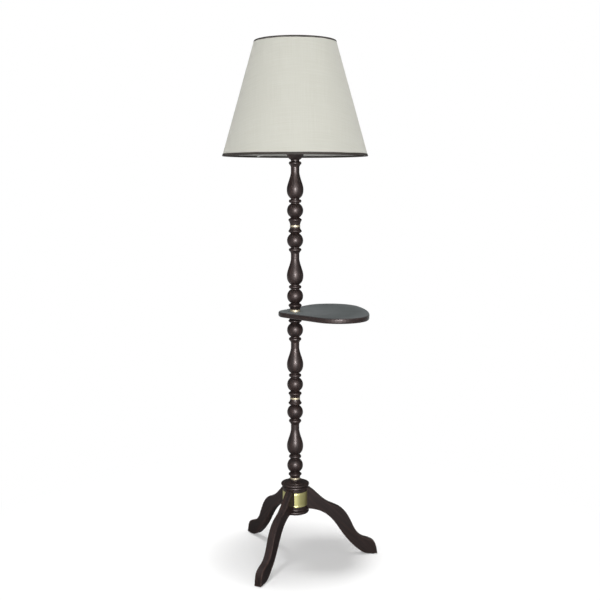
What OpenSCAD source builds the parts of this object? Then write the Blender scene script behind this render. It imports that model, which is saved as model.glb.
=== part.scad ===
// Candlestick floor lamp: four turned posts with brass rings on a hollow stem, a tray that
// turns about the column, three S-curved legs on a turned hub, and a conical shade.
// Millimetres. +Z is up, the origin is on the floor under the column, and the right leg
// lies along +X.

/* [Turned posts] */
// Height of a turned post; the vase's taper takes up what the mouldings leave
post_h = 257.8; // [244:0.2:280]
// Radius of the two balls on a post
ball_r = 25.1; // [22.5:0.1:27]
// Radius at the bottom of the narrow grooves between mouldings
groove_r = 13.2; // [11.5:0.1:14]
// Largest radius of the vase
vase_r = 25.8; // [22:0.1:28]
// Smallest radius of the neck above the vase
neck_r = 12.2; // [11.5:0.1:14]
// Largest radius of the beads
bead_r = 19.6; // [17.5:0.1:21]
// Half the thickness of a bead
bead_half = 5.5; // [4.5:0.1:6]
// Height from a bead's middle to the groove on either side of it
bead_pitch = 7.6; // [7:0.1:9]
// Height from the groove under the vase to its widest place
belly_h = 28; // [24:0.5:34]
// Height from the neck to the bead above it
cove_h = 13; // [10:0.5:16]
// Height of the flared end of a post
flare_h = 20.5; // [18:0.5:24]
// Height of the flare's lip above the end of the post
lip_h = 13.2; // [11:0.1:15]
// Radius of the flare's lip
lip_r = 20.9; // [18.5:0.1:22]
// Radius of the flat end of a post
end_r = 15.2; // [14.5:0.1:16.5]
// Bore through the posts for the stem
post_bore_d = 10.6; // [10.4:0.1:12]
// Extra height of the flare at the bottom of the top post
top_post_extra = 3.5; // [0:0.5:6]
// How much shorter the flare at the bottom of the lowest post is
low_post_less = 2; // [0:0.5:4]

/* [Cup] */
// Radius of the cup's rim
cup_r = 27.2; // [25:0.1:30]
// Height of the cup above the groove under it
cup_h = 23; // [20:0.5:28]
// Depth of the seat in the top of the cup
cup_seat_h = 4; // [2:0.5:6]
// Radius of the seat in the top of the cup
cup_seat_r = 22; // [20:0.5:23.5]

/* [Brass rings] */
// Height of the brass rings between the posts
ring_h = 5.5; // [4:0.1:8]
// Radius of the brass rings
ring_r = 16; // [15:0.1:17]

/* [Hub] */
// Height of the hub's underside above the floor
hub_clear = 148.5; // [140:0.5:160]
// Radius of the drum
drum_r = 38.7; // [37:0.1:41]
// Height of the plain drum between its mouldings
drum_h = 60.5; // [56:0.5:68]
// Radius of the bottom moulding
foot_ring_r = 44.3; // [43:0.1:46]
// Height of the bottom moulding
foot_ring_h = 11; // [9:0.1:13]
// Radius of the bead above the bottom moulding
low_bead_r = 42; // [41.2:0.1:43]
// Height of the bead above the bottom moulding
low_bead_h = 7.5; // [6:0.1:9]
// Radius of the bead under the cap
top_bead_r = 40.9; // [40.3:0.1:42]
// Height of the bead under the cap
top_bead_h = 9.5; // [8:0.1:11]
// Radius of the cap's rim
cap_r = 45; // [43:0.1:47]
// Height of the cap's rounded rim
cap_rim_h = 9.5; // [8:0.1:11]
// Radius of the moulding on top of the cap
cap_step_r = 35.5; // [32:0.1:38]
// Height of the dome above the cap's rim
cap_dome_h = 7.5; // [6:0.1:10]
// Radius of the collar that the column stands on
collar_r = 20.5; // [19:0.1:22]
// Height of that collar
collar_h = 3; // [2:0.1:4]

/* [Brass plates] */
// Height of the brass plates on the drum
plate_h = 46.6; // [40:0.1:50]
// Thickness of the brass plates
plate_t = 1; // [0.8:0.1:1.5]
// Angle that each plate spans round the drum
plate_span = 78; // [60:1:80]
// Distance of the pressed line from the edge of a plate
plate_line = 4; // [3:0.5:6]

/* [Legs] */
// Thickness of the board that the legs are sawn from
leg_t = 23; // [18:0.5:26]
// Distance from the column's axis to the tip of a toe
leg_reach = 268; // [250:1:290]
// Distance from the axis to the knee
knee_x = 150; // [142:1:158]
// How far the top of the knee lies under the top of the leg's root
knee_drop = 77.5; // [70:0.5:88]
// Distance from the axis to the front of the shin
shin_x = 193; // [186:1:198]
// Height of that place on the shin above the floor
shin_z = 87; // [76:1:96]
// Height of the instep above the floor
instep_z = 55; // [48:1:60]
// Height of the front of the toe above the floor
toe_z = 45; // [38:1:50]
// Distance from the tip of a toe back to the top of its front
nose_len = 16; // [12:1:22]
// Distance from the tip of a toe back to the instep
instep_len = 40; // [34:1:48]
// Distance from the knee back to the thigh
thigh_len = 58; // [50:1:66]
// How far the thigh lies under the top of the leg's root
thigh_drop = 45.5; // [40:0.5:52]
// Distance from the knee back to the hollow under the thigh
hollow_len = 45; // [38:1:52]
// How far that hollow lies under the bottom of the leg's root
hollow_drop = 24; // [16:0.5:30]
// Distance from the knee back to the calf, at the height of the shin
calf_len = 5; // [2:0.5:10]
// Height of the heel's hollow, under the shin, above the floor
heel_z = 29; // [24:0.5:34]
// Length of the toe's flat underside
toe_len = 28; // [24:1:34]
// Size of the eased edges of the legs
leg_ease = 1.6; // [0.8:0.1:2.5]
// Diameter of the dowels that hold the legs
dowel_d = 8; // [6:0.5:10]
// Length of those dowels
dowel_len = 44; // [36:1:50]
// Distance between the two dowels of one leg
dowel_gap = 30; // [24:1:36]
// Thickness of the felt pads
pad_t = 2; // [1.5:0.1:4]
// Diameter of the felt pads
pad_d = 18; // [14:1:20]

/* [Tray] */
// Thickness of the tray
tray_t = 16.4; // [12:0.1:20]
// Radius of the tray's narrow end, which is centred on the column
tray_end_r = 52.5; // [46:0.5:60]
// Radius of the tray's two broad lobes
tray_lobe_r = 95; // [80:1:110]
// Distance from the column to the line between the lobes' centres
tray_lobe_x = 124; // [110:1:140]
// Distance of each lobe's centre from the tray's middle line
tray_lobe_y = 86; // [70:1:100]
// Radius of the tray's curved far side
tray_far_r = 440; // [300:5:700]
// Radius of the tray's rounded edge
tray_edge = 5; // [3:0.5:6]
// Angle of the tray from the right leg
tray_turn = 0; // [-30:1:30]
// Radius of the brass sleeve that the tray turns on
sleeve_r = 8; // [7:0.1:9]
// Radial running clearance of the tray on its sleeve
sleeve_fit = 0.08; // [0.04:0.01:0.1]
// Height of the brass collar above the tray
tray_ring_h = 5.6; // [4:0.1:10]
// Depth of the recess in the tray that the collar sits in
tray_recess_h = 0.8; // [0.5:0.1:2]
// Thickness of the felt washer under the tray
felt_t = 1; // [0.8:0.1:2]
// Free height above and below the tray
tray_float = 0.15; // [0.1:0.05:0.3]

/* [Stem and fasteners] */
// Outer diameter of the hollow threaded stem
stem_d = 10; // [9.5:0.1:10.2]
// Bore of the stem, which carries the cable
stem_bore_d = 7.4; // [6.5:0.1:8]
// Width across the flats of the stem nuts
nut_af = 14; // [13:0.5:17]
// Height of the stem nuts
nut_h = 6; // [5:0.5:8]
// Diameter of the stem washers
washer_d = 28; // [24:0.5:32]
// Thickness of the stem washers
washer_t = 2; // [1.5:0.1:3]
// Depth of the recess in the hub's underside
recess_h = 26; // [22:0.5:32]
// Diameter of that recess
recess_d = 34; // [34:0.5:40]
// Bore of the bush that the cable leaves by
bush_bore_d = 7; // [6:0.1:8]
// Diameter of the bush's head
bush_d = 18; // [16:0.5:20]
// Length of the bush
bush_len = 14; // [12:0.5:16]
// How far the bush is screwed onto the stem
bush_grip = 9; // [6:0.5:10]

/* [Lampholder] */
// Outer radius of the lampholder's threaded skirt
skirt_r = 19.8; // [19:0.1:20]
// Height of the skirt above the shade's seat
skirt_h = 33; // [30:0.5:38]
// Wall of the skirt
skirt_wall = 2; // [1.6:0.1:2.4]
// Radius of the flange that the shade rests on
flange_r = 24; // [23:0.1:26]
// Thickness of that flange
flange_t = 2; // [1.5:0.1:3]
// Height of the domed cap under the skirt
holder_cap_h = 24.2; // [18:0.1:28]
// Radius of the boss at the bottom of the domed cap
holder_boss_r = 9; // [8:0.1:10]
// Length of stem that the domed cap is screwed onto
holder_grip = 9; // [7:0.5:10]
// Inner radius of the screw shell for the bulb
shell_bore_r = 13.3; // [13.2:0.05:13.5]
// Wall of the screw shell
shell_wall = 0.5; // [0.4:0.05:0.8]
// Length of the screw shell
shell_h = 23; // [21:0.5:25]
// Radius of the ceramic core
core_r = 17; // [16:0.1:17.3]
// Radius of the ring that clamps the shade
clamp_r = 26; // [24:0.5:27]
// Height of that ring
clamp_h = 8; // [6:0.5:10]
// Gap between neighbouring parts of the lampholder
holder_gap = 0.2; // [0.1:0.05:0.3]

/* [Shade] */
// Outer radius of the shade at the bottom, over its trim
shade_bottom_r = 224.2; // [210:0.2:235]
// Outer radius of the shade at the top, over its trim
shade_top_r = 125.2; // [110:0.2:140]
// Height of the shade
shade_h = 345.6; // [320:0.2:370]
// How far the shade's seat lies above its bottom edge
shade_drop = 40.4; // [34:0.2:46]
// Thickness of the lined fabric
fabric_t = 1; // [0.8:0.1:1.6]
// Thickness of the trim tape
trim_t = 0.8; // [0.6:0.1:1.2]
// Height of the trim tape at the bottom
trim_bottom_h = 7.3; // [5:0.1:12]
// Height of the trim tape at the top
trim_top_h = 5.5; // [4:0.1:10]
// Height of the trim tape where it is turned in
trim_inner_h = 3; // [2:0.1:4]
// Diameter of the wire rings
wire_d = 3.6; // [3:0.1:4.5]
// Diameter of the spokes
spoke_d = 3; // [2.4:0.1:3]
// Angle of the first spoke from the right leg
spoke_turn = -1; // [-30:1:30]
// Radial clearance of the shade's ring round the skirt
fitter_fit = 0.5; // [0.4:0.05:0.8]
// Outer radius of the shade's ring, clear of the clamp
fitter_r = 30; // [29:0.5:34]
// Thickness of the shade's ring
fitter_t = 2; // [1.5:0.1:3]
// Free height above and below the shade's ring
fitter_float = 0.15; // [0.1:0.05:0.3]

/* [Hidden] */

round_fn = 96;
full_turn = 360;
wood = [0.17, 0.11, 0.10];
brass = [0.72, 0.62, 0.36];
steel = [0.62, 0.63, 0.65];
black = [0.10, 0.10, 0.11];
felt = [0.22, 0.20, 0.19];
ceramic = [0.90, 0.89, 0.85];
wire = [0.86, 0.86, 0.84];
cloth = [0.83, 0.83, 0.78];
tape = [0.27, 0.24, 0.22];

// Angles of the three legs, and of the three plates between them
leg_angles = [for (i = [0:2]) full_turn / 3 * i];
plate_angles = [for (angle = leg_angles) angle + full_turn / 6];

// Height of half a ball between its grooves, to a hundredth, so that the heights add up exactly
ball_half = round(100 * sqrt(ball_r * ball_r - groove_r * groove_r)) / 100;
// Height from the widest place of the vase to the neck
taper_h = post_h - 2 * flare_h - 4 * ball_half - 3 * bead_pitch - belly_h - cove_h - bead_half;

// Places up a post, from its lower end, for a foot of the given height
function ball_low(foot) = foot + ball_half;
function bead_low(foot) = foot + 2 * ball_half + bead_pitch;
function vase_start(foot) = bead_low(foot) + bead_pitch;
function vase_belly(foot) = vase_start(foot) + belly_h;
function neck(foot) = vase_belly(foot) + taper_h;
function bead_high(foot) = neck(foot) + cove_h + bead_half;
function ball_high(foot) = bead_high(foot) + bead_pitch + ball_half;
top_post_foot = flare_h + top_post_extra;
low_post_foot = flare_h - low_post_less;
low_post_h = post_h - low_post_less;
cup_start = bead_high(top_post_foot) + bead_pitch;
top_post_h = cup_start + cup_h;

// Heights above the floor, from the hub up
drum_z = hub_clear + foot_ring_h + low_bead_h;
drum_top_z = drum_z + drum_h;
cap_z = drum_top_z + top_bead_h;
dome_z = cap_z + cap_rim_h;
collar_z = dome_z + cap_dome_h;
base_ring_z = collar_z + collar_h;
post_bottom_z = base_ring_z + ring_h;
ring_lower_z = post_bottom_z + low_post_h;
post_lower_z = ring_lower_z + ring_h;
felt_z = post_lower_z + post_h;
tray_z = felt_z + felt_t + tray_float;
tray_top_z = tray_z + tray_t;
tray_ring_z = tray_top_z - tray_recess_h + tray_float;
post_upper_z = tray_top_z + tray_float + tray_ring_h;
ring_upper_z = post_upper_z + post_h;
post_top_z = ring_upper_z + ring_h;
cup_top_z = post_top_z + top_post_h;
cup_seat_z = cup_top_z - cup_seat_h;
cup_nut_z = cup_seat_z + washer_t;
holder_z = cup_nut_z + nut_h + holder_gap;
flange_z = holder_z + holder_cap_h;
fitter_z = flange_z + flange_t + fitter_float;
clamp_z = fitter_z + fitter_t + fitter_float;
skirt_top_z = flange_z + flange_t + skirt_h;
shell_z = skirt_top_z - holder_gap - shell_h;
contact_h = 3;
well_z = shell_z - holder_gap - contact_h;
well_r = shell_bore_r - shell_wall;
stem_top_z = holder_z + holder_grip;
shade_z = fitter_z - shade_drop;

// Base recess: the washer bears on its ceiling, with the nut under it
recess_top_z = hub_clear + recess_h;
base_washer_z = recess_top_z - washer_t;
base_nut_z = base_washer_z - nut_h;
stem_z = hub_clear + bush_len - bush_grip;
stem_r = stem_d / 2;

// The brass plates sit in the middle of the drum's height
plate_z = drum_z + (drum_h - plate_h) / 2;
plate_groove = plate_t * 0.4;

// Leg root: as high as the drum, and scribed over the mouldings at both ends
root_over = 5;
root_under = 7;
root_in = 8;
root_top_z = drum_top_z + root_over;
root_low_z = drum_z - root_under;
scribe = 0.3;
leg_mid_z = (root_top_z + root_low_z) / 2;
dowel_in = dowel_len / 2;

// Shade cone: radius lost per millimetre of height, measured on the outside of the tape
cone_k = (shade_bottom_r - shade_top_r) / shade_h;
function cone_r(h) = shade_bottom_r - cone_k * h;
fabric_low_h = trim_t;
fabric_high_h = shade_h - trim_t;
wire_low_h = fabric_low_h + wire_d / 2;
wire_high_h = fabric_high_h - wire_d / 2;
wire_inset = 2 * trim_t + fabric_t + wire_d / 2 * sqrt(1 + cone_k * cone_k);

// ---------- Curves ----------

function bezier(a, b, c, d, t) =
    a * pow(1 - t, 3) + 3 * b * t * pow(1 - t, 2) + 3 * c * t * t * (1 - t) + d * pow(t, 3);
function bezier_run(a, b, c, d, n) = [for (i = [0:n]) bezier(a, b, c, d, i / n)];

// A smooth run through stations [x, z, heading], without its last point
function way(angle) = [cos(angle), sin(angle)];
function reach(a, b) = 0.36 * norm([b.x - a.x, b.y - a.y]);
function leap(a, b, t) =
    bezier([a.x, a.y], [a.x, a.y] + reach(a, b) * way(a[2]),
        [b.x, b.y] - reach(a, b) * way(b[2]), [b.x, b.y], t);
function sweep_run(s, n) = [for (k = [0:len(s) - 2], i = [0:n - 1]) leap(s[k], s[k + 1], i / n)];

function arc_run(c, r, from, to, n) = [for (i = [0:n]) c + r * way(from + (to - from) * i / n)];

// The outline moved inward by d along its own normals (outline counter-clockwise)
function unit(v) = v / norm(v);
function inset(o, d) = [for (i = [0:len(o) - 1])
    let (v = unit(o[(i + 1) % len(o)] - o[(i + len(o) - 1) % len(o)])) o[i] + d * [-v.y, v.x]];

// Board of thickness t with the given outline. edge lists [inset, height] pairs up its side.
module board(o, edge) {
    n = len(o);
    m = len(edge);
    points = [for (e = edge, p = inset(o, e[0])) [p.x, p.y, e[1]]];
    sides = [for (k = [0:m - 2], i = [0:n - 1])
        [k * n + i, (k + 1) * n + i, (k + 1) * n + (i + 1) % n, k * n + (i + 1) % n]];
    floor_face = [for (i = [0:n - 1]) i];
    top_face = [for (i = [n - 1:-1:0]) (m - 1) * n + i];
    polyhedron(points, concat([floor_face], sides, [top_face]), convexity = 6);
}
// Eased edges at 45 degrees, carried past both faces for a slab to cut flat
function eased(t, e, past) = [[e + past, -past], [0, e], [0, t - e], [e + past, t + past]];
function rounded(t, r, n) = concat(
    [for (i = [0:n]) [r * (1 - sin(90 * i / n)), r * (1 - cos(90 * i / n))]],
    [for (i = [0:n]) [r * (1 - cos(90 * i / n)), t - r * (1 - sin(90 * i / n))]]);

// ---------- Turned wood ----------

// Half profile from the end face up to the groove, with a lip; foot is its full height
lip_soft = 2.6;
function flare_points(foot) =
    let (lip_z = foot - flare_h + lip_h, s = lip_soft)
    concat([[0, 0]],
        bezier_run([end_r, 0], [end_r + 0.4 * s, lip_z * 0.4], [lip_r - s, lip_z * 0.7],
            [lip_r - 0.23 * s, lip_z - 0.92 * s], 8),
        bezier_run([lip_r - 0.04 * s, lip_z - 0.54 * s], [lip_r + 0.08 * s, lip_z],
            [lip_r - 0.15 * s, lip_z + 0.62 * s], [lip_r - 0.62 * s, lip_z + s], 6),
        [[groove_r, foot], [0, foot]]);

module flare_profile(foot) {
    polygon(flare_points(foot));
}

// The same flare upside down, under the top face of a post
module top_flare_profile(h) {
    points = flare_points(flare_h);
    polygon([for (i = [len(points) - 1:-1:0]) [points[i].x, h - points[i].y]]);
}

module bead_profile(z) {
    translate([bead_r - bead_half, z]) circle(r = bead_half, $fn = 48);
}

module ball_profile(z) {
    translate([0, z]) circle(r = ball_r, $fn = round_fn);
}

// From the groove under the vase to the bead above the neck
module vase_profile(foot) {
    start = vase_start(foot);
    belly = vase_belly(foot);
    throat = neck(foot);
    top = throat + cove_h;
    slim = vase_r - neck_r;
    bead_in_r = bead_r - bead_half;
    in_bead = 0.15 * bead_half;
    polygon(concat([[0, start]],
        bezier_run([groove_r, start], [groove_r + (vase_r - groove_r) * 0.75,
            start + belly_h * 0.24], [vase_r, belly - belly_h * 0.44], [vase_r, belly], 12),
        bezier_run([vase_r, belly], [vase_r, belly + taper_h * 0.29],
            [neck_r + slim * 0.09, belly + taper_h * 0.54], [neck_r, throat], 16),
        bezier_run([neck_r, throat], [neck_r, throat + cove_h * 0.45],
            [neck_r + (bead_in_r - neck_r) * 0.9, top - cove_h * 0.25],
            [bead_in_r + bead_half / 2, top + in_bead], 8),
        [[0, top + in_bead]]));
}

// Everything that the posts share, from the end face to above the upper bead
module lower_turning(foot) {
    flare_profile(foot);
    square([groove_r, bead_high(foot) + bead_pitch]);
    ball_profile(ball_low(foot));
    bead_profile(bead_low(foot));
    vase_profile(foot);
    bead_profile(bead_high(foot));
}

module bored(h) {
    rotate_extrude($fn = round_fn)
        difference() {
            intersection() {
                children();
                square([2 * vase_r, h]);
            }
            square([post_bore_d / 2, h]);
        }
}

// A post of height h that stands on a flare of height foot
module post(z, h, foot) {
    color(wood)
        translate([0, 0, z])
            bored(h) {
                union() {
                    lower_turning(foot);
                    square([groove_r, h]);
                    ball_profile(ball_high(foot));
                    top_flare_profile(h);
                }
            }
}

module post_bottom() { post(post_bottom_z, low_post_h, low_post_foot); }
module post_lower() { post(post_lower_z, post_h, flare_h); }
module post_upper() { post(post_upper_z, post_h, flare_h); }

// Half profile of the cup, from the groove under it to the rim
module cup_profile() {
    stem_h = 2.5;
    rim = 1.5;
    polygon(concat([[0, cup_start], [groove_r, cup_start], [groove_r, cup_start + stem_h]],
        bezier_run([groove_r + 0.4 * rim, cup_start + stem_h],
            [cup_r - 5 * rim, cup_start + stem_h + 1.6 * rim],
            [cup_r - 1.2 * rim, cup_start + cup_h * 0.55], [cup_r, top_post_h - rim], 12),
        [[cup_r - rim * 0.35, top_post_h - rim * 0.3], [cup_r - rim, top_post_h],
            [cup_seat_r, top_post_h], [cup_seat_r, top_post_h - cup_seat_h],
            [0, top_post_h - cup_seat_h]]));
}

module post_top() {
    color(wood)
        translate([0, 0, post_top_z])
            bored(top_post_h) {
                union() {
                    lower_turning(top_post_foot);
                    cup_profile();
                }
            }
}

// ---------- Brass rings ----------

// Brass ring with softly rounded edges and a bore for the stem
module brass_ring(z, h) {
    soft = 0.8;
    color(brass)
        translate([0, 0, z])
            rotate_extrude($fn = round_fn)
                polygon([[post_bore_d / 2, 0], [ring_r - soft, 0],
                    [ring_r - soft / 4, soft / 2], [ring_r, h * 0.35], [ring_r, h * 0.65],
                    [ring_r - soft / 4, h - soft / 2], [ring_r - soft, h],
                    [post_bore_d / 2, h]]);
}

module base_ring() { brass_ring(base_ring_z, ring_h); }
module post_ring_lower() { brass_ring(ring_lower_z, ring_h); }
module post_ring_upper() { brass_ring(ring_upper_z, ring_h); }

// ---------- Hub ----------

// A half-round moulding between two heights
module moulding(r, z, h) {
    translate([r - h / 2, z + h / 2]) circle(r = h / 2, $fn = 48);
    translate([0, z]) square([r - h / 2, h]);
}

module hub_drum() {
    color(wood)
        difference() {
            translate([0, 0, hub_clear])
                rotate_extrude($fn = round_fn)
                    difference() {
                        union() {
                            moulding(foot_ring_r, 0, foot_ring_h);
                            moulding(low_bead_r, foot_ring_h, low_bead_h);
                            square([drum_r, cap_z - hub_clear]);
                            moulding(top_bead_r, drum_top_z - hub_clear, top_bead_h);
                        }
                        square([post_bore_d / 2, cap_z - hub_clear]);
                        square([recess_d / 2, recess_h]);
                    }
            dowels();
        }
}

module hub_cap() {
    rim_half = cap_rim_h / 2;
    step_h = 3;
    color(wood)
        translate([0, 0, cap_z])
            rotate_extrude($fn = round_fn)
                difference() {
                    union() {
                        moulding(cap_r, 0, cap_rim_h);
                        polygon(concat([[0, rim_half], [cap_r - rim_half, rim_half],
                            [cap_r - rim_half, cap_rim_h]],
                            bezier_run([cap_step_r, cap_rim_h + 0.2 * step_h],
                                [cap_step_r - 0.13 * step_h, cap_rim_h + 0.87 * step_h],
                                [cap_step_r - step_h, cap_rim_h + step_h],
                                [cap_step_r - 2 * step_h, cap_rim_h + 1.13 * step_h], 6),
                            [[collar_r, collar_z - cap_z], [0, collar_z - cap_z]]));
                        moulding(collar_r, collar_z - cap_z, collar_h);
                    }
                    square([post_bore_d / 2, base_ring_z - cap_z]);
                }
}

// Brass plate bent round the drum, with a pressed line near its upper and lower edge
module hub_plate(angle) {
    line = 0.9;
    color(brass)
        translate([0, 0, plate_z])
            rotate([0, 0, angle - plate_span / 2])
                rotate_extrude(angle = plate_span, $fn = round_fn)
                    difference() {
                        translate([drum_r, 0]) square([plate_t, plate_h]);
                        for (z = [plate_line, plate_h - plate_line])
                            translate([drum_r + plate_t, z])
                                polygon([[0, -line], [-plate_groove, 0], [0, line]]);
                    }
}

module hub_plate_front() { hub_plate(plate_angles[2]); }
module hub_plate_left() { hub_plate(plate_angles[1]); }
module hub_plate_rear() { hub_plate(plate_angles[0]); }

// ---------- Legs ----------

// Side view of a leg: x from the column's axis, y up from the floor. The upper half hangs
// from the root and the lower half stands on the floor.
leg_top_stations = [
    [leg_reach, pad_t, 102],
    [leg_reach - nose_len, toe_z, 148],
    [leg_reach - instep_len, instep_z, 166],
    [shin_x, shin_z, 116],
    [knee_x, root_top_z - knee_drop, 141],
    [knee_x - thigh_len, root_top_z - thigh_drop, 141],
    [drum_r, root_top_z, 150],
];
leg_low_stations = [
    [drum_r, root_low_z, -4],
    [knee_x - hollow_len, root_low_z - hollow_drop, -40],
    [knee_x - calf_len, shin_z, -56],
    [shin_x, heel_z, -42],
    [leg_reach - toe_len, pad_t, -4],
];
leg_outline = concat([[drum_r - root_in, root_low_z]], sweep_run(leg_low_stations, 8),
    [[leg_reach - toe_len, pad_t]], sweep_run(leg_top_stations, 6),
    [[drum_r, root_top_z], [drum_r - root_in, root_top_z]]);

// The hub's outline, which the root of each leg is cut to
module leg_scribe() {
    low_r = low_bead_r + scribe;
    high_r = top_bead_r + scribe;
    low = root_low_z - leg_t;
    high = root_top_z + leg_t;
    rotate_extrude($fn = round_fn)
        polygon([[0, low], [low_r, low], [low_r, drum_z], [drum_r, drum_z],
            [drum_r, drum_top_z], [high_r, drum_top_z], [high_r, high], [0, high]]);
}

module leg(angle) {
    color(wood)
        rotate([0, 0, angle])
            difference() {
                rotate([90, 0, 0])
                    translate([0, 0, -leg_t / 2])
                        intersection() {
                            board(leg_outline, eased(leg_t, leg_ease, leg_ease / 2));
                            cube([leg_reach + leg_t, root_top_z + leg_t, leg_t]);
                        }
                leg_scribe();
                leg_dowel_pair();
            }
}

module leg_right() { leg(leg_angles[0]); }
module leg_back() { leg(leg_angles[1]); }
module leg_front() { leg(leg_angles[2]); }

// The two dowels of the leg along +X, half in the hub and half in the leg
module leg_dowel_pair() {
    for (side = [-1, 1])
        translate([drum_r - dowel_in, 0, leg_mid_z + side * dowel_gap / 2])
            rotate([0, 90, 0])
                cylinder(d = dowel_d, h = dowel_len, $fn = 32);
}

module dowels() {
    for (angle = leg_angles)
        rotate([0, 0, angle])
            leg_dowel_pair();
}

module leg_dowels() {
    color([0.72, 0.58, 0.40]) dowels();
}

module pad(angle) {
    color(felt)
        rotate([0, 0, angle])
            translate([leg_reach - toe_len / 2, 0, 0])
                cylinder(d = pad_d, h = pad_t, $fn = 48);
}

module pad_right() { pad(leg_angles[0]); }
module pad_back() { pad(leg_angles[1]); }
module pad_front() { pad(leg_angles[2]); }

// ---------- Stem and fasteners ----------

module stem_tube() {
    color(steel)
        translate([0, 0, stem_z])
            difference() {
                cylinder(r = stem_r, h = stem_top_z - stem_z, $fn = 48);
                cylinder(d = stem_bore_d, h = stem_top_z - stem_z, $fn = 48);
            }
}

module stem_washer(z) {
    color(steel)
        translate([0, 0, z])
            difference() {
                cylinder(d = washer_d, h = washer_t, $fn = round_fn);
                cylinder(d = post_bore_d, h = washer_t, $fn = round_fn);
            }
}

module stem_nut(z) {
    color(steel)
        translate([0, 0, z])
            difference() {
                cylinder(d = nut_af / cos(30), h = nut_h, $fn = 6);
                cylinder(r = stem_r, h = nut_h, $fn = 48);
            }
}

module base_washer() { stem_washer(base_washer_z); }
module base_nut() { stem_nut(base_nut_z); }
module cup_washer() { stem_washer(cup_seat_z); }
module cup_nut() { stem_nut(cup_nut_z); }

// Plastic bush screwed onto the lower end of the stem, with a rounded cable mouth
module cable_bush() {
    neck_h = bush_len - bush_grip;
    mouth = 1.5;
    soft = 1;
    color(black)
        translate([0, 0, hub_clear])
            rotate_extrude($fn = round_fn)
                polygon([[bush_bore_d / 2 + mouth, 0], [bush_d / 2 - soft, 0],
                    [bush_d / 2, soft], [bush_d / 2, neck_h],
                    [bush_d / 2 - mouth, neck_h + soft], [bush_d / 2 - mouth, bush_len],
                    [stem_r, bush_len], [stem_r, neck_h], [bush_bore_d / 2, neck_h],
                    [bush_bore_d / 2, mouth]]);
}

// ---------- Tray ----------

// Outline: the narrow end round the column and two broad lobes, joined by tangent lines, and
// a flat curve across the far side that runs into both lobes
lobe = [tray_lobe_x, tray_lobe_y];
tangent = atan2(lobe.y, lobe.x) + acos((tray_end_r - tray_lobe_r) / norm(lobe));
far_x = lobe.x - sqrt(pow(tray_far_r - tray_lobe_r, 2) - lobe.y * lobe.y);
far_angle = atan2(lobe.y, lobe.x - far_x);
far_step = far_angle / 7;
tray_outline = concat(
    arc_run([0, 0], tray_end_r, tangent, full_turn - tangent, 22),
    arc_run([lobe.x, -lobe.y], tray_lobe_r, -tangent, -far_angle, 20),
    arc_run([far_x, 0], tray_far_r, far_step - far_angle, far_angle - far_step, 12),
    arc_run(lobe, tray_lobe_r, far_angle, tangent, 20));

module tray() {
    color(wood)
        difference() {
            translate([0, 0, tray_z])
                rotate([0, 0, tray_turn])
                    board(tray_outline, rounded(tray_t, tray_edge, 4));
            translate([0, 0, tray_z])
                cylinder(r = sleeve_r + sleeve_fit, h = tray_t, $fn = round_fn);
            translate([0, 0, tray_top_z - tray_recess_h])
                cylinder(r = ring_r + scribe, h = tray_t, $fn = round_fn);
        }
}

// Brass collar let into the tray's top, with the sleeve under it that the tray turns on
module tray_sleeve() {
    soft = 0.8;
    sleeve_h = tray_ring_z - felt_z;
    top = post_upper_z - felt_z;
    color(brass)
        translate([0, 0, felt_z])
            rotate_extrude($fn = round_fn)
                polygon([[post_bore_d / 2, 0], [sleeve_r, 0], [sleeve_r, sleeve_h],
                    [ring_r - soft, sleeve_h], [ring_r, sleeve_h + soft], [ring_r, top - soft],
                    [ring_r - soft, top], [post_bore_d / 2, top]]);
}

module tray_felt() {
    color(felt)
        translate([0, 0, felt_z])
            difference() {
                cylinder(r = end_r, h = felt_t, $fn = round_fn);
                cylinder(r = sleeve_r + scribe, h = felt_t, $fn = round_fn);
            }
}

// ---------- Lampholder ----------

// Domed lower half, screwed onto the stem
module holder_cap() {
    boss_h = 3;
    shoulder_h = 8;
    dome_h = 13;
    soft = 1;
    color(black)
        translate([0, 0, holder_z])
            rotate_extrude($fn = round_fn)
                polygon(concat([[stem_r, 0], [holder_boss_r, 0], [holder_boss_r, boss_h]],
                    bezier_run([holder_boss_r + soft, boss_h + soft / 2],
                        [skirt_r - 4 * soft, boss_h + 1.5 * soft], [skirt_r, shoulder_h],
                        [skirt_r, dome_h], 8),
                    [[skirt_r, holder_cap_h], [skirt_r - skirt_wall, holder_cap_h],
                        [skirt_r - skirt_wall, holder_grip], [stem_r, holder_grip]]));
}

// Skirt with the flange that carries the shade
module holder_skirt() {
    soft = 1;
    lip_t = 2;
    mouth_r = shell_bore_r + shell_wall + 3 * holder_gap;
    top = skirt_top_z - flange_z;
    color(black)
        translate([0, 0, flange_z])
            rotate_extrude($fn = round_fn)
                polygon([[skirt_r - skirt_wall, 0], [flange_r, 0], [flange_r, flange_t],
                    [skirt_r, flange_t], [skirt_r, top - soft], [skirt_r - soft, top],
                    [mouth_r, top], [mouth_r, top - lip_t],
                    [skirt_r - skirt_wall, top - lip_t]]);
}

// Ceramic core that carries the shell, with a well in its top for the contacts
module holder_core() {
    low = holder_z + holder_grip;
    color(ceramic)
        rotate_extrude($fn = round_fn)
            polygon([[0, low], [core_r, low], [core_r, shell_z], [well_r, shell_z],
                [well_r, well_z], [0, well_z]]);
}

// Sprung centre contact and the two side terminals beside it, in the core's well
module holder_contact() {
    blade = 6;
    terminal_h = 1;
    pitch = well_r - 0.8 * blade;
    color(brass)
        translate([0, 0, well_z])
            for (x = [-1, 0, 1])
                translate([x * pitch - blade / 2, -blade / 2, 0])
                    cube([blade, blade, x == 0 ? contact_h : terminal_h]);
}

module holder_shell() {
    color(brass)
        translate([0, 0, shell_z])
            difference() {
                cylinder(r = shell_bore_r + shell_wall, h = shell_h, $fn = round_fn);
                cylinder(r = shell_bore_r, h = shell_h, $fn = round_fn);
            }
}

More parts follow.
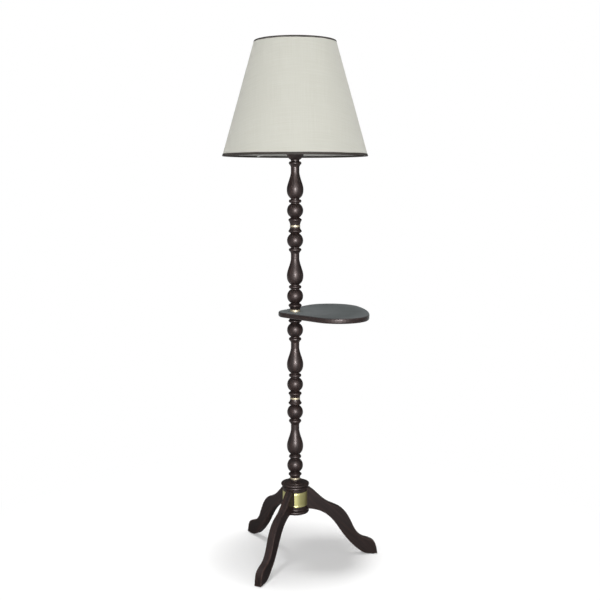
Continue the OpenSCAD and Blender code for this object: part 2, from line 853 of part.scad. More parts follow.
// Ribbed ring that clamps the shade down on the flange
module holder_clamp_ring() {
    ribs = 24;
    rib_r = 1.2;
    plain_h = 2;
    color(black)
        translate([0, 0, clamp_z])
            difference() {
                cylinder(r = clamp_r, h = clamp_h, $fn = round_fn);
                cylinder(r = skirt_r, h = clamp_h, $fn = round_fn);
                translate([0, 0, plain_h])
                    for (i = [0:ribs - 1])
                        rotate([0, 0, full_turn * i / ribs])
                            translate([clamp_r + rib_r * 0.4, 0, 0])
                                cylinder(r = rib_r, h = clamp_h, $fn = 24);
            }
}

// ---------- Shade ----------

module shade_fitter() {
    color(wire)
        translate([0, 0, fitter_z])
            difference() {
                cylinder(r = fitter_r, h = fitter_t, $fn = round_fn);
                cylinder(r = skirt_r + fitter_fit, h = fitter_t, $fn = round_fn);
            }
}

module wire_ring(h) {
    color(wire)
        translate([0, 0, shade_z + h])
            rotate_extrude($fn = round_fn)
                translate([cone_r(h) - wire_inset, 0])
                    circle(d = wire_d, $fn = 24);
}

module shade_bottom_wire() { wire_ring(wire_low_h); }
module shade_top_wire() { wire_ring(wire_high_h); }

// Spoke from the shade's ring out and down to the bottom wire, cut to sit on both
module spoke(angle) {
    from = [fitter_r - spoke_d, shade_drop + fitter_t / 2];
    to = [cone_r(wire_low_h) - wire_inset, wire_low_h];
    run = to - from;
    color(wire)
        difference() {
            rotate([0, 0, angle])
                translate([from.x, 0, shade_z + from.y])
                    rotate([0, atan2(run.x, run.y), 0])
                        cylinder(d = spoke_d, h = norm(run), $fn = 24);
            translate([0, 0, shade_z])
                cylinder(r = fitter_r, h = 2 * shade_drop, $fn = round_fn);
            wire_ring(wire_low_h);
        }
}

module spoke_right() { spoke(spoke_turn); }
module spoke_back() { spoke(spoke_turn + full_turn / 3); }
module spoke_left() { spoke(spoke_turn - full_turn / 3); }

// A band that follows the cone: outside and inside are measured in from the tape
module cone_band(low, high, outside, inside) {
    translate([0, 0, shade_z])
        rotate_extrude($fn = round_fn)
            polygon([[cone_r(low) - inside, low], [cone_r(low) - outside, low],
                [cone_r(high) - outside, high], [cone_r(high) - inside, high]]);
}

module shade_fabric() {
    color(cloth)
        cone_band(fabric_low_h, fabric_high_h, trim_t, trim_t + fabric_t);
}

// Tape folded over an edge of the shade: outside, over the edge, and turned in
module trim(edge, turn, outer_h) {
    thick = 2 * trim_t + fabric_t;
    far = edge + turn * outer_h;
    inner = edge + turn * trim_inner_h;
    fold = edge + turn * trim_t;
    color(tape)
        translate([0, 0, shade_z])
            rotate_extrude($fn = round_fn)
                polygon([[cone_r(edge) - thick, edge], [cone_r(edge), edge],
                    [cone_r(far), far], [cone_r(far) - trim_t, far],
                    [cone_r(fold) - trim_t, fold], [cone_r(fold) - thick + trim_t, fold],
                    [cone_r(inner) - thick + trim_t, inner], [cone_r(inner) - thick, inner]]);
}

module shade_bottom_trim() { trim(0, 1, trim_bottom_h); }
module shade_top_trim() { trim(shade_h, -1, trim_top_h); }

hub_drum();
hub_cap();
hub_plate_front();
hub_plate_left();
hub_plate_rear();
leg_right();
leg_back();
leg_front();
leg_dowels();
pad_right();
pad_back();
pad_front();
base_washer();
base_nut();
cable_bush();
stem_tube();
base_ring();
post_bottom();
post_ring_lower();
post_lower();
tray_felt();
tray();
tray_sleeve();
post_upper();
post_ring_upper();
post_top();
cup_washer();
cup_nut();
holder_cap();
holder_core();
holder_contact();
holder_shell();
holder_skirt();
holder_clamp_ring();
shade_fitter();
spoke_right();
spoke_back();
spoke_left();
shade_bottom_wire();
shade_top_wire();
shade_fabric();
shade_bottom_trim();
shade_top_trim();
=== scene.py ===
# %% [markdown]
# # A candlestick floor lamp
# The lamp has three curved legs, a turned column, a tray and a linen shade. Its hard parts come
# in as finished CAD solids. This lesson dresses them: it gives the wood its grain and lacquer,
# the brass its brushing, and it sews the shade anew from cloth, because a plain cone of CAD
# would never pass for linen.

import bpy
import bmesh
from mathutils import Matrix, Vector
from math import atan2, cos, degrees, hypot, pi, radians, sin, tau


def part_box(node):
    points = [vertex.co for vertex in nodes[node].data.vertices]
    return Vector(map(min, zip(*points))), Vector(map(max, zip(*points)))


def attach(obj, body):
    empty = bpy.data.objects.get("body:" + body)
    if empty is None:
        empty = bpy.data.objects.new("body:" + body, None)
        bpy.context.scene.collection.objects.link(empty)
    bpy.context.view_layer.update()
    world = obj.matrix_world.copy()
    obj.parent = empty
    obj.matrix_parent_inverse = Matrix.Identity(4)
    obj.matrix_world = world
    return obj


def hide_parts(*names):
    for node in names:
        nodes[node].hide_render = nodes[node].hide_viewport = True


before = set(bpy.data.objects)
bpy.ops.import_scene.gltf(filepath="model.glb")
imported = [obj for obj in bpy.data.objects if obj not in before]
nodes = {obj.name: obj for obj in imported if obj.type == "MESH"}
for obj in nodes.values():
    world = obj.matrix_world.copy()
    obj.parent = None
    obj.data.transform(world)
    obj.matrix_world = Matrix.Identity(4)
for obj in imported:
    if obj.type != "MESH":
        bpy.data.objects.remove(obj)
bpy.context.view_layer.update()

# %% [markdown]
# ## The camera
# The photograph was taken from a little under the shade, looking slightly down. The lens, the
# height and the distance were worked out from the feet, the rings and the shade's rim, so the
# render can be laid over the photograph. A small sideways shift puts the column where it stands
# in the frame, which keeps the camera level and the verticals true.

# %% Place the camera
CAMERA_AZIMUTH = radians(-95.3)
CAMERA_DISTANCE = 2.968
CAMERA_HEIGHT = 1.205
CAMERA_TILT = radians(7.12)
FOCAL_PIXELS = 955.0
PICTURE_WIDTH = 600.0
COLUMN_PIXEL = 295.1

camera_data = bpy.data.cameras.new("photo_camera")
camera_data.sensor_width = 36.0
camera_data.lens = FOCAL_PIXELS * camera_data.sensor_width / PICTURE_WIDTH
camera_data.shift_x = (PICTURE_WIDTH / 2 - COLUMN_PIXEL) / PICTURE_WIDTH
camera = bpy.data.objects.new("photo_camera", camera_data)
camera.location = (CAMERA_DISTANCE * cos(CAMERA_AZIMUTH), CAMERA_DISTANCE * sin(CAMERA_AZIMUTH),
                   CAMERA_HEIGHT)
camera.rotation_euler = (pi / 2 - CAMERA_TILT, 0, CAMERA_AZIMUTH + pi / 2)
bpy.context.scene.collection.objects.link(camera)
bpy.context.scene.camera = camera
bpy.context.scene.view_settings.view_transform = "Standard"
print("lens:", round(camera_data.lens, 2), "mm")

# %% [markdown]
# ## The studio
# A product photograph like this one has a big soft lamp near the camera, weaker fill from the
# sides, an overhead lamp and a white sweep. The world gives the even light. The camera sees it
# as plain white, so the backdrop needs no extra light. Lacquer and brass mirror a room: the
# white of the sweep, dimmer towards the horizon and behind the lamp, where a real studio falls
# into shade, and dimmer on the right than on the left, where its window is. Without that the
# dark wood would look grey at every edge.
#
# Every shader below is built from a few small helpers: one adds a node, one does sums, one maps
# a range onto another. They keep the node trees short enough to read.


# %% Shader helpers
def link(tree, a, b):
    tree.links.new(a, b)


def node(tree, kind, **values):
    """Adds a shader node and sets its properties and the default of its named inputs."""
    made = tree.nodes.new(kind)
    for key, value in values.items():
        if hasattr(made, key):
            setattr(made, key, value)
        else:
            made.inputs[key.replace("_", " ")].default_value = value
    return made


def maths(tree, operation, a, b=None, clamp=False):
    """One Math node; a and b are sockets or plain numbers."""
    made = tree.nodes.new("ShaderNodeMath")
    made.operation = operation
    made.use_clamp = clamp
    for socket, value in zip(made.inputs, (a, b)):
        if value is None:
            continue
        if isinstance(value, (int, float)):
            socket.default_value = value
        else:
            tree.links.new(value, socket)
    return made.outputs[0]


def seen_rays(tree):
    """1 for rays from the camera and for reflected or transmitted ones, 0 for the rest."""
    path = tree.nodes.new("ShaderNodeLightPath")
    total = maths(tree, "ADD", path.outputs["Is Camera Ray"], path.outputs["Is Glossy Ray"], True)
    return maths(tree, "ADD", total, path.outputs["Is Transmission Ray"], True)


def ranged(tree, value, low, high, to_low=0.0, to_high=1.0, soft=False):
    """Maps low..high onto to_low..to_high, clamped."""
    made = tree.nodes.new("ShaderNodeMapRange")
    if soft:
        made.interpolation_type = "SMOOTHSTEP"
    made.inputs["From Min"].default_value = low
    made.inputs["From Max"].default_value = high
    made.inputs["To Min"].default_value = to_low
    made.inputs["To Max"].default_value = to_high
    tree.links.new(value, made.inputs["Value"])
    return made.outputs[0]


def mirrored(tree, dimmed):
    """1 in general, and the socket dimmed for rays that lacquer or metal reflects."""
    path = tree.nodes.new("ShaderNodeLightPath")
    missing = maths(tree, "SUBTRACT", 1.0, dimmed)
    loss = maths(tree, "MULTIPLY", path.outputs["Is Glossy Ray"], missing)
    return maths(tree, "SUBTRACT", 1.0, loss)


print("helpers:", link.__name__, node.__name__, maths.__name__, ranged.__name__)

# %% Light the world
WORLD_LIGHT = 0.30
ROOM_HORIZON, ROOM_ABOVE = 0.30, 0.62
WINDOW_SIDE, FAR_SIDE = 1.0, 0.5
ROOM_FRONT, ROOM_BEHIND = 1.0, 0.45

world = bpy.data.worlds.new("white_studio")
world.use_nodes = True
tree = world.node_tree
tree.nodes.clear()
way = tree.nodes.new("ShaderNodeTexCoord")
split = tree.nodes.new("ShaderNodeSeparateXYZ")
link(tree, way.outputs["Generated"], split.inputs[0])
room = maths(tree, "MULTIPLY",
             ranged(tree, split.outputs["Z"], 0.15, 0.85, ROOM_HORIZON, ROOM_ABOVE, soft=True),
             ranged(tree, split.outputs["X"], -0.7, 0.6, WINDOW_SIDE, FAR_SIDE))
room = maths(tree, "MULTIPLY", room,
             ranged(tree, split.outputs["Y"], -0.3, 0.6, ROOM_FRONT, ROOM_BEHIND, soft=True))
even = node(tree, "ShaderNodeBackground", Color=(1.0, 0.99, 0.98, 1), Strength=WORLD_LIGHT)
white = node(tree, "ShaderNodeBackground", Color=(1, 1, 1, 1))
link(tree, mirrored(tree, room), white.inputs["Strength"])
pick = tree.nodes.new("ShaderNodeMixShader")
link(tree, seen_rays(tree), pick.inputs[0])
link(tree, even.outputs[0], pick.inputs[1])
link(tree, white.outputs[0], pick.inputs[2])
link(tree, pick.outputs[0], node(tree, "ShaderNodeOutputWorld").inputs[0])
bpy.context.scene.world = world
print("world light:", WORLD_LIGHT)

# %% [markdown]
# The floor is a plain pale sheet. Close to the lamp it shows the soft round shadow that the
# shade and the tray throw under the overhead lamp, let down by a little glow that only the
# camera sees. Further out the sheet turns plain white, so that the lamp seems to stand on paper
# without an edge. What lacquer and metal mirror of it is a glow in place of the lit sheet: a
# painted shadow, dim close to the lamp, and further out a painted light that is brighter on the
# left than on the right.

# %% Lay the floor
FLOOR_HALF = 9.0
PAPER = (0.70, 0.70, 0.70)
SHADOW_NEAR, SHADOW_FAR = 0.45, 1.2
FLOOR_GLOW = 0.28
FLOOR_MIRRORED = 0.6, 0.35
SHADOW_MIRRORED = 0.2

mesh = bpy.data.meshes.new("paper_floor")
mesh.from_pydata([(-FLOOR_HALF, -FLOOR_HALF, 0), (FLOOR_HALF, -FLOOR_HALF, 0),
                  (FLOOR_HALF, FLOOR_HALF, 0), (-FLOOR_HALF, FLOOR_HALF, 0)], [], [(0, 1, 2, 3)])
floor = bpy.data.objects.new("paper_floor", mesh)
bpy.context.scene.collection.objects.link(floor)

paper = bpy.data.materials.new("white_paper")
paper.use_nodes = True
tree = paper.node_tree
tree.nodes.clear()
place = tree.nodes.new("ShaderNodeTexCoord")
length = tree.nodes.new("ShaderNodeVectorMath")
length.operation = "LENGTH"
link(tree, place.outputs["Object"], length.inputs[0])
fade = ranged(tree, length.outputs["Value"], SHADOW_NEAR, SHADOW_FAR, soft=True)
split = tree.nodes.new("ShaderNodeSeparateXYZ")
link(tree, place.outputs["Object"], split.inputs[0])
# For mirrored rays the floor is a glow: painted light, brighter on the left, and a painted shadow
# close to the lamp.
side = ranged(tree, split.outputs["X"], -0.6, 0.6, *FLOOR_MIRRORED)
painted_shadow_dip = ranged(tree, length.outputs["Value"], 0.1, 0.9, SHADOW_MIRRORED, 1)
strength = mirrored(tree, maths(tree, "MULTIPLY", side, painted_shadow_dip))
seen = seen_rays(tree)
path = tree.nodes.new("ShaderNodeLightPath")
plainly = maths(tree, "MAXIMUM", fade, path.outputs["Is Glossy Ray"])
matt = node(tree, "ShaderNodeBsdfDiffuse", Color=PAPER + (1,))
glow = node(tree, "ShaderNodeEmission", Color=(1, 1, 1, 1))
link(tree, maths(tree, "MULTIPLY", seen, FLOOR_GLOW), glow.inputs["Strength"])
both = tree.nodes.new("ShaderNodeAddShader")
link(tree, matt.outputs[0], both.inputs[0])
link(tree, glow.outputs[0], both.inputs[1])
plain = node(tree, "ShaderNodeEmission", Color=(1, 1, 1, 1))
link(tree, strength, plain.inputs["Strength"])
mix = tree.nodes.new("ShaderNodeMixShader")
link(tree, maths(tree, "MULTIPLY", seen, plainly), mix.inputs[0])
link(tree, both.outputs[0], mix.inputs[1])
link(tree, plain.outputs[0], mix.inputs[2])
link(tree, mix.outputs[0], node(tree, "ShaderNodeOutputMaterial").inputs[0])
floor.data.materials.append(paper)
print("floor:", 2 * FLOOR_HALF, "m")


# %% [markdown]
# The key lamp is a softbox just over the camera. A second one at the same place gives the
# reflections alone: it draws the upright streaks on the vases and the round lights on the balls,
# and can be made as bright as those need without bleaching the linen. A weaker lamp at the left
# and one at the right open the sides.
# A far lamp straight overhead is the one that throws the shade's round shadow on the floor. It
# is a sun lamp, because its parallel light keeps that shadow as small as the shade itself.

# %% Hang the softboxes
def softbox(name, azimuth, distance, height, size, power, aim=0.85):
    """A rectangular lamp at an angle from the camera's own side, aimed at the column."""
    data = bpy.data.lights.new(name, "AREA")
    data.shape = "RECTANGLE"
    data.size, data.size_y = size
    data.energy = power
    lamp = bpy.data.objects.new(name, data)
    angle = CAMERA_AZIMUTH + radians(azimuth)
    lamp.location = (distance * cos(angle), distance * sin(angle), height)
    way = Vector((0, 0, aim)) - lamp.location
    lamp.rotation_euler = way.to_track_quat("-Z", "Y").to_euler()
    bpy.context.scene.collection.objects.link(lamp)
    return lamp


def overhead(name, strength, angle):
    """A lamp straight above, whose angle sets how soft the edge of its shadow is."""
    data = bpy.data.lights.new(name, "SUN")
    data.energy = strength
    data.angle = radians(angle)
    lamp = bpy.data.objects.new(name, data)
    lamp.location = (0, 0, 4)
    bpy.context.scene.collection.objects.link(lamp)
    return lamp


key = softbox("key_softbox", 3, 2.9, 1.7, (1.0, 1.0), 32)
key.visible_glossy = False
gloss = softbox("gloss_softbox", 4, 2.9, 1.3, (0.7, 0.7), 155)
gloss.visible_diffuse = False
softbox("left_fill", -62, 2.6, 1.5, (0.6, 1.6), 2.5)
softbox("right_fill", 70, 2.6, 1.3, (0.6, 1.6), 3)
overhead("overhead_lamp", 2.2, 10)


# %% [markdown]
# ## Shared effects
# Some effects serve more than one finish, so each is a node group with named sockets. A group
# only puts out masks, tones and heights; the shader that uses them stays in the material.
#
# The first is wood grain. It takes a place whose Z runs along the grain, and gives the wide
# growth bands, the fine fibres, the small open pores, and the streaks where the stain let more
# of the wood's own red through.

# %% Group: wood grain
def group(name, inputs, outputs):
    """A shader group with named inputs (name, kind, default) and outputs (name, kind)."""
    made = bpy.data.node_groups.new(name, "ShaderNodeTree")
    for title, kind, default in inputs:
        socket = made.interface.new_socket(title, in_out="INPUT", socket_type=kind)
        if default is not None:
            socket.default_value = default
    for title, kind in outputs:
        made.interface.new_socket(title, in_out="OUTPUT", socket_type=kind)
    return made, made.nodes.new("NodeGroupInput"), made.nodes.new("NodeGroupOutput")


def stretched(tree, vector, scale):
    """The vector with each axis scaled by its own number."""
    made = tree.nodes.new("ShaderNodeVectorMath")
    made.operation = "MULTIPLY"
    made.inputs[1].default_value = scale
    tree.links.new(vector, made.inputs[0])
    return made.outputs[0]


def noise_at(tree, vector, scale=1.0, detail=2.0, rough=0.5, distortion=0.0):
    made = node(tree, "ShaderNodeTexNoise")
    made.inputs["Scale"].default_value = scale
    made.inputs["Detail"].default_value = detail
    made.inputs["Roughness"].default_value = rough
    made.inputs["Distortion"].default_value = distortion
    tree.links.new(vector, made.inputs["Vector"])
    return made.outputs["Fac"]


F, V = "NodeSocketFloat", "NodeSocketVector"
grain, g_in, g_out = group("wood grain", [("Place", V, None)],
                           [("Tone", F), ("Pores", F), ("Streaks", F)])
bands = noise_at(grain, stretched(grain, g_in.outputs["Place"], (26, 26, 1.7)), 1, 2, 0.5, 0.6)
waves = maths(grain, "SINE", maths(grain, "MULTIPLY", bands, 46.0))
waves = ranged(grain, waves, -1, 1, 0, 1)
fibres = noise_at(grain, stretched(grain, g_in.outputs["Place"], (520, 520, 9)), 1, 3, 0.6)
tone = maths(grain, "ADD", maths(grain, "MULTIPLY", waves, 0.45),
             maths(grain, "MULTIPLY", fibres, 0.75))
link(grain, maths(grain, "SUBTRACT", tone, 0.15, True), g_out.inputs["Tone"])
pores = noise_at(grain, stretched(grain, g_in.outputs["Place"], (1500, 1500, 60)), 1, 1)
link(grain, ranged(grain, pores, 0.62, 0.74), g_out.inputs["Pores"])
heart = noise_at(grain, stretched(grain, g_in.outputs["Place"], (170, 170, 6)), 1, 3, 0.55)
link(grain, ranged(grain, heart, 0.48, 0.70), g_out.inputs["Streaks"])
print("group:", grain.name)

# %% [markdown]
# Handling rubs the lacquer thin along edges and ridges. The Bevel node gives a rounded normal;
# where it differs from the real one there is an edge, and that difference is the mask. A noise
# breaks the line up, as real wear does. On the dark wood the edges that it finds are painted
# lighter, partly as rubbed lacquer and partly as a painted highlight along eased edges.

# %% Group: rubbed edges
edges, g_in, g_out = group("rubbed edges", [("Place", V, None), ("Width", F, 0.0015)],
                           [("Mask", F)])
bevel = edges.nodes.new("ShaderNodeBevel")
bevel.samples = 4
link(edges, g_in.outputs["Width"], bevel.inputs["Radius"])
true_normal = edges.nodes.new("ShaderNodeNewGeometry")
dot = edges.nodes.new("ShaderNodeVectorMath")
dot.operation = "DOT_PRODUCT"
link(edges, bevel.outputs[0], dot.inputs[0])
link(edges, true_normal.outputs["Normal"], dot.inputs[1])
sharp = ranged(edges, dot.outputs["Value"], 0.995, 0.90)
patchy = noise_at(edges, g_in.outputs["Place"], 90, 3)
patchy = ranged(edges, patchy, 0.35, 0.65, 0.35, 1.0)
link(edges, maths(edges, "MULTIPLY", sharp, patchy), g_out.inputs["Mask"])
print("group:", edges.name)

# %% [markdown]
# Nothing in a room is evenly clean. This group gives soft smudges, which make a gloss uneven,
# a fine dust mask, and a plain mask of what looks upward.

# %% Group: smudges and dust
smudges, g_in, g_out = group("smudges and dust", [("Place", V, None), ("Scale", F, 18.0)],
                             [("Smudge", F), ("Dust", F), ("Upward", F)])
soft = node(smudges, "ShaderNodeTexNoise", Detail=4.0, Roughness=0.6)
link(smudges, g_in.outputs["Place"], soft.inputs["Vector"])
link(smudges, g_in.outputs["Scale"], soft.inputs["Scale"])
link(smudges, ranged(smudges, soft.outputs["Fac"], 0.3, 0.7), g_out.inputs["Smudge"])
up = smudges.nodes.new("ShaderNodeNewGeometry")
parts = smudges.nodes.new("ShaderNodeSeparateXYZ")
link(smudges, up.outputs["Normal"], parts.inputs[0])
facing = ranged(smudges, parts.outputs["Z"], 0.5, 1.0)
link(smudges, facing, g_out.inputs["Upward"])
specks = ranged(smudges, noise_at(smudges, g_in.outputs["Place"], 420, 2), 0.45, 0.75)
link(smudges, maths(smudges, "MULTIPLY", facing, specks), g_out.inputs["Dust"])
print("group:", smudges.name)

# %% [markdown]
# ## Dark lacquered wood
# The wood is stained almost black, with a trace of plum, and sprayed with satin lacquer. A
# Principled shader with a thin coat does this: the stain is the base colour, the coat is the
# lacquer. The grain only shows as a faint change of tone. Each sawn board has its own direction,
# so the grain's place is turned to follow the post, the leg or the tray. Along edges the stain is
# painted lighter, partly as rubbed lacquer and partly as a painted highlight. The tray's top has a
# painted reflection: a faint bluish haze in streaks along its grain, on what faces up. It also
# has a bloom of fine dust that shows when it is looked along, as in the photograph.


# %% Finish: dark wood
def start(name):
    """A new material, with its tree, its shader and its output already joined."""
    made = bpy.data.materials.new(name)
    made.use_nodes = True
    tree = made.node_tree
    tree.nodes.clear()
    shader = tree.nodes.new("ShaderNodeBsdfPrincipled")
    link(tree, shader.outputs[0], node(tree, "ShaderNodeOutputMaterial").inputs[0])
    return made, tree, shader


def place_of(tree, turn=(0, 0, 0)):
    """The piece's own place in metres, turned so that Z follows the grain."""
    coordinates = tree.nodes.new("ShaderNodeTexCoord")
    turned = tree.nodes.new("ShaderNodeMapping")
    turned.inputs["Rotation"].default_value = turn
    link(tree, coordinates.outputs["Object"], turned.inputs["Vector"])
    return turned.outputs[0]


def use(tree, effect, place, **values):
    """Places a shared effect in a material."""
    made = tree.nodes.new("ShaderNodeGroup")
    made.node_tree = effect
    link(tree, place, made.inputs["Place"])
    for key, value in values.items():
        made.inputs[key].default_value = value
    return made.outputs


def blended(tree, mask, first, second):
    """first where the mask is 0, second where it is 1; each is a colour or a socket."""
    made = tree.nodes.new("ShaderNodeMix")
    made.data_type = "RGBA"
    for index, value in ((0, mask), (6, first), (7, second)):
        socket = made.inputs[index]
        if isinstance(value, (int, float)):
            socket.default_value = value
        elif isinstance(value, tuple):
            socket.default_value = value + (1.0,)
        else:
            link(tree, value, socket)
    return made.outputs[2]


def bumped(tree, height, distance):
    """A normal from a height; distance is how far in metres a height of 1 stands out."""
    made = tree.nodes.new("ShaderNodeBump")
    made.inputs["Distance"].default_value = distance
    link(tree, height, made.inputs["Height"])
    return made.outputs[0]


WARM_SHARE, EDGE_WEAR_AND_HIGHLIGHT_SHARE, DUST_SHARE = 0.55, 0.75, 0.06
SATIN = 0.44
LACQUER_TINT = (1.0, 0.85, 0.83)
PORE_DEPTH = 0.00002
STAIN_DEEP = (0.0055, 0.0030, 0.0030)
STAIN_LIGHT = (0.022, 0.0105, 0.0095)
STAIN_WARM = (0.048, 0.0185, 0.0120)
EDGE_WEAR_AND_HIGHLIGHT_TONE = (0.105, 0.066, 0.053)
DUST_TONE = (0.105, 0.120, 0.125)
PAINTED_REFLECTION_TONE = (0.150, 0.180, 0.192)


def dark_wood(name, turn=(0, 0, 0), painted_reflection=0.0, shine=0.55, eased=0.0018, bloom=0.0):
    """shine is the lacquer's specular level, eased how far in from an edge it is painted lighter,
    partly as rubbed lacquer and partly as a painted highlight, and bloom the pale sheen that fine
    dust gives when it is looked along."""
    made, tree, shader = start(name)
    place = place_of(tree, turn)
    fibre = use(tree, grain, place)
    worn = use(tree, edges, place, Width=eased)
    film = use(tree, smudges, place, Scale=14.0)
    tone = blended(tree, fibre["Tone"], STAIN_DEEP, STAIN_LIGHT)
    tone = blended(tree, maths(tree, "MULTIPLY", fibre["Streaks"], WARM_SHARE), tone, STAIN_WARM)
    # Edges painted lighter: partly rubbed lacquer, partly a painted highlight along eased edges.
    tone = blended(tree, maths(tree, "MULTIPLY", worn["Mask"], EDGE_WEAR_AND_HIGHLIGHT_SHARE), tone,
                   EDGE_WEAR_AND_HIGHLIGHT_TONE)
    tone = blended(tree, maths(tree, "MULTIPLY", film["Dust"], DUST_SHARE), tone, DUST_TONE)
    # The tray's top: a painted reflection, a bluish tone in streaks along the grain on what faces
    # up.
    if painted_reflection:
        streaks = noise_at(tree, stretched(tree, place, (70, 70, 4)), 1, 3)
        painted_reflection_mask = maths(tree, "MULTIPLY", ranged(tree, streaks, 0.36, 0.64, 0.6, 1), painted_reflection)
        tone = blended(tree, maths(tree, "MULTIPLY", film["Upward"], painted_reflection_mask), tone, PAINTED_REFLECTION_TONE)
    link(tree, tone, shader.inputs["Base Color"])
    gloss = maths(tree, "ADD", maths(tree, "MULTIPLY", film["Smudge"], 0.05), SATIN)
    gloss = maths(tree, "ADD", gloss, maths(tree, "MULTIPLY", fibre["Tone"], 0.04))
    link(tree, gloss, shader.inputs["Roughness"])
    shader.inputs["Specular IOR Level"].default_value = shine
    shader.inputs["Specular Tint"].default_value = LACQUER_TINT + (1,)
    shader.inputs["Sheen Weight"].default_value = bloom
    shader.inputs["Sheen Roughness"].default_value = 0.35
    shader.inputs["Sheen Tint"].default_value = (0.86, 1.0, 1.0, 1)
    shader.inputs["Coat Weight"].default_value = 0.08
    shader.inputs["Coat Roughness"].default_value = 0.2
    link(tree, bumped(tree, fibre["Pores"], -PORE_DEPTH), shader.inputs["Normal"])
    return made


def finish_with(material, *names):
    """Gives CAD nodes their finish, in every slot that they have."""
    for name in names:
        slots = nodes[name].material_slots
        if not slots:
            nodes[name].data.materials.append(material)
        for slot in slots:
            slot.material = material


turned_wood = dark_wood("dark_wood_turned")
finish_with(turned_wood, "hub_drum", "hub_cap", "post_bottom", "post_lower", "post_upper",
            "post_top")
LEG_SLOPE = radians(45)
for name, azimuth in (("leg_right", 0), ("leg_back", 120), ("leg_front", 240)):
    board = dark_wood("dark_wood_" + name, shine=0.36, eased=0.0045)
    place = board.node_tree.nodes["Mapping"]
    place.vector_type = "TEXTURE"
    place.inputs["Rotation"].default_value = (0, radians(90) + LEG_SLOPE, radians(azimuth))
    finish_with(board, name)
tray_wood = dark_wood("dark_wood_tray", (0, radians(90), 0), painted_reflection=0.45, shine=0.5, eased=0.003,
                      bloom=0.24)
finish_with(tray_wood, "tray")
print("dark wood on", [m.name for m in bpy.data.materials if m.name.startswith("dark_wood")])

# %% [markdown]
# ## Brass
# The plates are sheet brass, brushed across and lacquered; the rings and the tray's collar are
# turned. Old lacquered brass is paler and greener than new gold. The brushing is a noise
# stretched round the column, which breaks the reflections into fine lines.


# %% Finish: brass
def brass(name, bright, dull, fine, rough):
    made, tree, shader = start(name)
    place = place_of(tree)
    film = use(tree, smudges, place, Scale=30.0)
    worn = use(tree, edges, place, Width=0.0008)
    brushed = noise_at(tree, stretched(tree, place, fine), 1, 2)
    tone = blended(tree, film["Smudge"], bright, dull)
    tone = blended(tree, maths(tree, "MULTIPLY", worn["Mask"], 0.5), tone, (0.82, 0.78, 0.60))
    link(tree, tone, shader.inputs["Base Color"])
    shader.inputs["Metallic"].default_value = 1.0
    gloss = maths(tree, "ADD", maths(tree, "MULTIPLY", brushed, 0.12), rough)
    gloss = maths(tree, "ADD", gloss, maths(tree, "MULTIPLY", film["Smudge"], 0.05))
    link(tree, gloss, shader.inputs["Roughness"])
    link(tree, bumped(tree, brushed, 0.00001), shader.inputs["Normal"])
    return made


sheet_brass = brass("brass_sheet", (0.76, 0.72, 0.33), (0.66, 0.62, 0.27), (40, 40, 2600),
                    0.33)
finish_with(sheet_brass, "hub_plate_front", "hub_plate_left", "hub_plate_rear")
ring_brass = brass("brass_turned", (0.62, 0.56, 0.42), (0.52, 0.46, 0.33), (60, 60, 4000),
                   0.46)
finish_with(ring_brass, "base_ring", "post_ring_lower", "post_ring_upper", "tray_sleeve")
print("brass on", [m.name for m in bpy.data.materials if m.name.startswith("brass")])

# %% [markdown]
# ## Small hardware
# What the shade and the hub hide is finished too: zinc-plated steel, black moulded plastic,
# glazed white ceramic, and white enamel on the wires.


# %% Finish: steel, plastic, ceramic, enamel and beech
def plain_finish(name, light, dark, rough, metal=0.0, coat=0.0, scale=40.0, grit=0.00004):
    """A finish of two tones, uneven gloss and a fine surface."""
    made, tree, shader = start(name)
    place = place_of(tree)
    film = use(tree, smudges, place, Scale=scale)
    fine = noise_at(tree, place, 2200, 2)
    link(tree, blended(tree, film["Smudge"], light, dark), shader.inputs["Base Color"])
    shader.inputs["Metallic"].default_value = metal
    gloss = maths(tree, "ADD", maths(tree, "MULTIPLY", film["Smudge"], 0.12), rough)
    link(tree, gloss, shader.inputs["Roughness"])
    shader.inputs["Coat Weight"].default_value = coat
    link(tree, bumped(tree, fine, grit), shader.inputs["Normal"])
    return made


zinc = plain_finish("zinc_plated_steel", (0.62, 0.63, 0.64), (0.48, 0.49, 0.50), 0.28, 1.0)
finish_with(zinc, "base_washer", "base_nut", "stem_tube", "cup_washer", "cup_nut")
black = plain_finish("black_moulded", (0.022, 0.022, 0.024), (0.034, 0.034, 0.036), 0.42)
finish_with(black, "cable_bush", "holder_cap", "holder_skirt", "holder_clamp_ring")
glazed = plain_finish("glazed_ceramic", (0.80, 0.79, 0.75), (0.72, 0.71, 0.67), 0.18, 0, 0.4)
finish_with(glazed, "holder_core")
contact = plain_finish("contact_brass", (0.72, 0.60, 0.34), (0.58, 0.47, 0.25), 0.24, 1.0)
finish_with(contact, "holder_contact", "holder_shell")
enamel = plain_finish("white_enamel", (0.78, 0.78, 0.76), (0.70, 0.70, 0.68), 0.30, 0, 0.3)
finish_with(enamel, "shade_fitter", "spoke_right", "spoke_back", "spoke_left",
            "shade_bottom_wire", "shade_top_wire")
beech = plain_finish("raw_beech", (0.55, 0.40, 0.25), (0.46, 0.32, 0.19), 0.6)
finish_with(beech, "leg_dowels")
print("hardware:", [m.name for m in (zinc, black, glazed, contact, enamel, beech)])

# %% [markdown]
# ## Cloth
# The last shared effect is a weave. It takes a place on the flat cloth, in metres, and gives the
# height of the crossing threads and the slow change of tone that thick and thin threads make.


